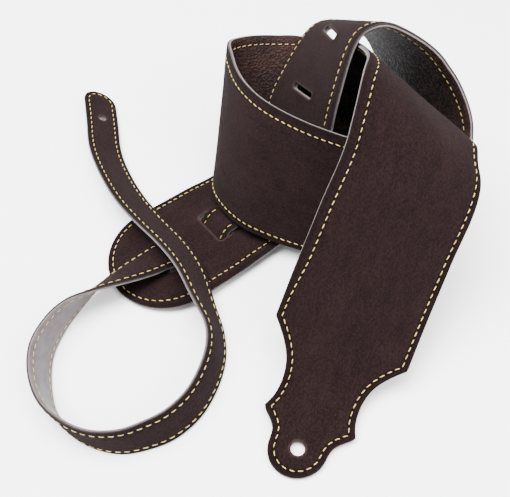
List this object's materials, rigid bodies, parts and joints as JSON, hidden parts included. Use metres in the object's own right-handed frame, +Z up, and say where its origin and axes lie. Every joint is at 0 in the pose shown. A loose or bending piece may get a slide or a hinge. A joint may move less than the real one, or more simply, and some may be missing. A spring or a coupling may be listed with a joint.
{
  "type": "guitar strap",
  "caption": "Suede guitar strap with scalloped leather button end, crossways slots and a narrow woven adjuster strap, lying loosely coiled.",
  "frame": {"origin": "centre of the whole strap's footprint, on the surface that it lies on", "axes": "+Z up, +Y towards the back of the coil, +X to the right, with the scalloped end pointing towards -Y"},
  "size_m": [0.2103, 0.2358, 0.1072],
  "materials": {
    "suede": "napped matte suede",
    "lining": "pebbled semi-gloss",
    "backing": "smooth matte",
    "thread": "waxed thread"
  },
  "bodies": {
    "strap": {"wide_suede_face": "suede", "wide_lining": "lining", "wide_stitching": "thread", "adjuster_suede_face": "suede", "adjuster_backing": "backing", "adjuster_stitching": "thread"},
    "front_end": {"front_suede_face": "suede", "front_lining": "lining", "front_stitching": "thread"},
    "adjuster_tip": {"adjuster_tip_suede_face": "suede", "adjuster_tip_backing": "backing", "adjuster_tip_stitching": "thread"}
  },
  "joints": [
    {"name": "front_end_flex", "type": "hinge", "parent": "strap", "child": "front_end", "pos_m": [0.04004, -0.05924, 0.02379], "axis": [-0.9147, 0.3541, 0.1948], "range_deg": [0, 45]},
    {"name": "adjuster_tip_flex", "type": "hinge", "parent": "strap", "child": "adjuster_tip", "pos_m": [-0.08824, 0.07513, 0.0077], "axis": [0.8957, 0.0252, -0.444], "range_deg": [0, 45]}
  ]
}
